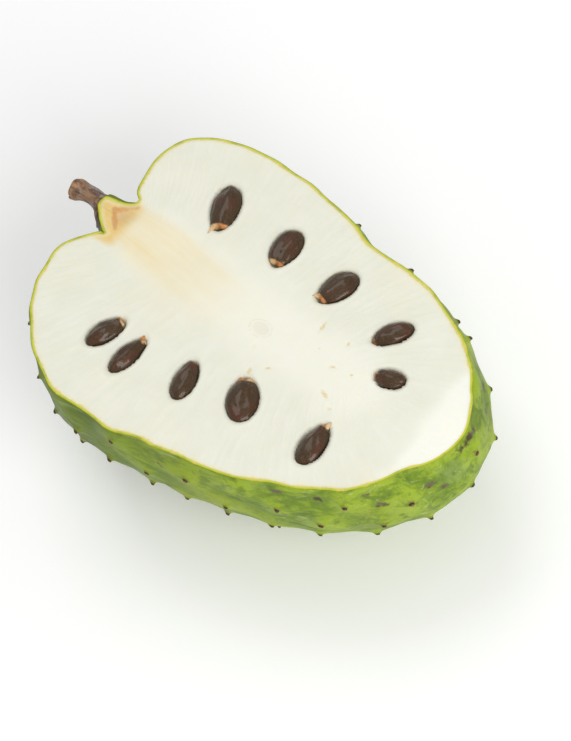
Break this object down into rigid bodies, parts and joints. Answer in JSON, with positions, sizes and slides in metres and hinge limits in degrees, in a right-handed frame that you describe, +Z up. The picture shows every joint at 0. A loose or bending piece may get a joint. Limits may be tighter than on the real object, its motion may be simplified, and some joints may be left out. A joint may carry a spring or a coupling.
{
  "type": "soursop half",
  "caption": "Half of a ripe soursop cut lengthwise: spiny green rind, white flesh with dark seeds set in the cut face, and a short woody stalk; rests cut face up.",
  "frame": {"origin": "middle of the bounding box at the resting plane", "axes": "+X from the stalk toward the fruit's tip, +Z up out of the cut face, +Y across the cut face"},
  "size_m": [0.1729, 0.1144, 0.0634],
  "materials": {
    "rind": "fresh green skin, lightly wrinkled, satin",
    "flesh": "moist creamy white pulp",
    "stalk": "dry rough bark",
    "seed": "wet glossy dark brown seed coat"
  },
  "bodies": {
    "root": {"rind": "rind", "flesh": "flesh", "stalk": "stalk", "seed_01": "seed", "seed_02": "seed", "seed_03": "seed", "seed_04": "seed", "seed_05": "seed", "seed_06": "seed", "seed_07": "seed", "seed_08": "seed", "seed_09": "seed", "seed_10": "seed"}
  },
  "joints": []
}
